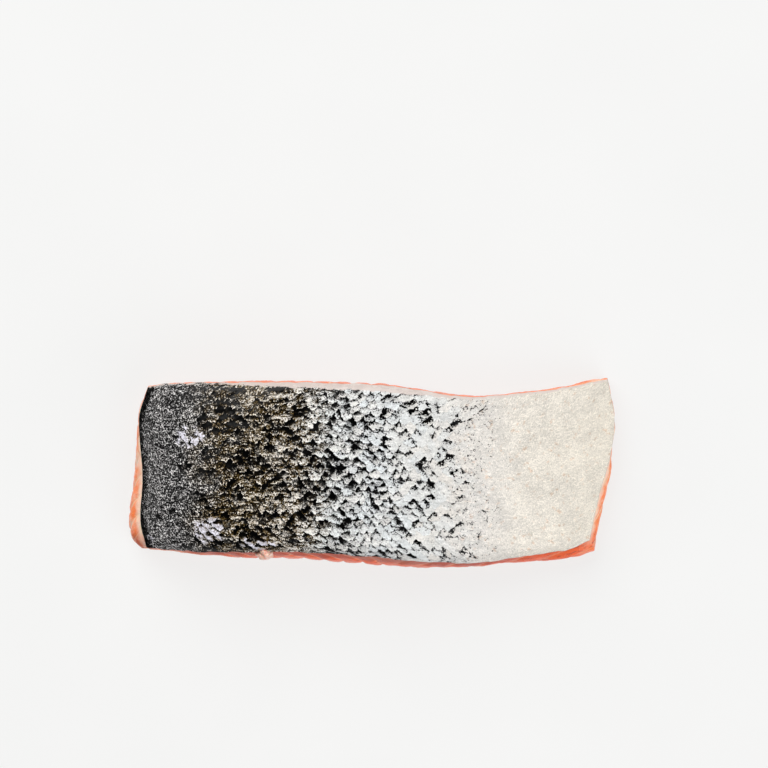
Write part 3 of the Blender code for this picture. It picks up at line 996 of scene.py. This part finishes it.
# The stage: a pale surface, soft lamps and a camera straight above.
stageLook = {
    "colours": {"floor": (246, 246, 245), "duller": (244, 244, 243), "black": (0, 0, 0),
                "skyAbove": (70, 71, 73), "skyAside": (165, 166, 168)},
    "floorSize": 1500.0, "floorHeight": -0.05,
    "floorShade": 0.87,  # share of black in what the floor reflects
    "finish": {"Roughness": 0.6, "Specular IOR Level": 0.1, "Emission Strength": 0.84},
    "skyStrength": 0.5,
    "skyBand": {"skyAside": 0.55, "skyAbove": 0.9},
    # place in millimetres, size in millimetres, power in watts, colour
    "lamps": [((-330, 680, 760), 950, 13.2, (255, 255, 254)), ((600, -520, 640), 950, 9.0, (252, 253, 255))],
    "target": (0, 0, 12), "cameraPlace": (3.3, 24.4, 1180.0), "sensor": 36.0,
    "sharpHeight": 18.0,  # height at which the picture is as wide as the next value says
    "shownWidth": 211.0,
}


def makeFloor():
    half, height = stageLook["floorSize"] / 2, stageLook["floorHeight"]
    corners = [(-half, -half, height), (half, -half, height), (half, half, height), (-half, half, height)]
    floor = newPiece("surface", np.array(corners) * mm, [(0, 1, 2, 3)])
    recipe = Recipe("surface", stageLook)
    grain = recipe.noise(recipe.place(), 0.02, 2.0)
    colour = recipe.mix((grain * 0.5 + 0.5).held(), "floor", "duller")
    shade = recipe.mix(stageLook["floorShade"], colour, "black")
    recipe.finish(floor, {"Base Color": shade, "Emission Color": colour})
    return floor


def makeSky():
    world = bpy.data.worlds.new("sky")
    bpy.context.scene.world = world
    recipe = Recipe("sky", stageLook, world)
    height = recipe.parts(recipe.add("ShaderNodeTexCoord"))[2]
    stops = [(place, recipe.paint[key]) for key, place in stageLook["skyBand"].items()]
    colour = recipe.add("ShaderNodeValToRGB", {"stops": stops}, {0: height})
    sockets = {"Color": colour, "Strength": stageLook["skyStrength"]}
    sky = recipe.add("ShaderNodeBackground", None, sockets)
    recipe.add("ShaderNodeOutputWorld", None, {"Surface": sky})


def makeLamps():
    target = Vector(stageLook["target"])
    for index, (place, size, power, colour) in enumerate(stageLook["lamps"]):
        lamp = bpy.data.lights.new(f"lamp_{index + 1}", "AREA")
        lamp.energy, lamp.size, lamp.color = power, size * mm, shown(*colour)[:3]
        holder = linked(lamp, place)
        holder.rotation_euler = (target - Vector(place)).to_track_quat("-Z", "Y").to_euler()


def makeCamera():
    look, scene = stageLook, bpy.context.scene
    camera = bpy.data.cameras.new("camera")
    camera.sensor_width = look["sensor"]
    camera.lens = look["sensor"] * (look["cameraPlace"][2] - look["sharpHeight"]) / look["shownWidth"]
    scene.camera = linked(camera, look["cameraPlace"])
    scene.view_settings.view_transform = "Standard"


skin = makeSkin()
dressSkin(skin)
print("skin made:", len(skin.data.polygons), "faces")
flesh = makeFlesh()
dressFlesh(flesh)
print("flesh made:", len(flesh.data.polygons), "faces")
shred = makeShred()
dressShred(shred)
print("shred made:", len(shred.data.polygons), "faces")
for piece, slot in ((skin, "salmon_skin"), (flesh, "salmon_flesh"), (shred, "salmon_flesh")):
    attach(piece, "root")
for piece in (skin, flesh):
    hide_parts("salmon_portion")

makeFloor()
makeSky()
makeLamps()
makeCamera()
print("stage made")
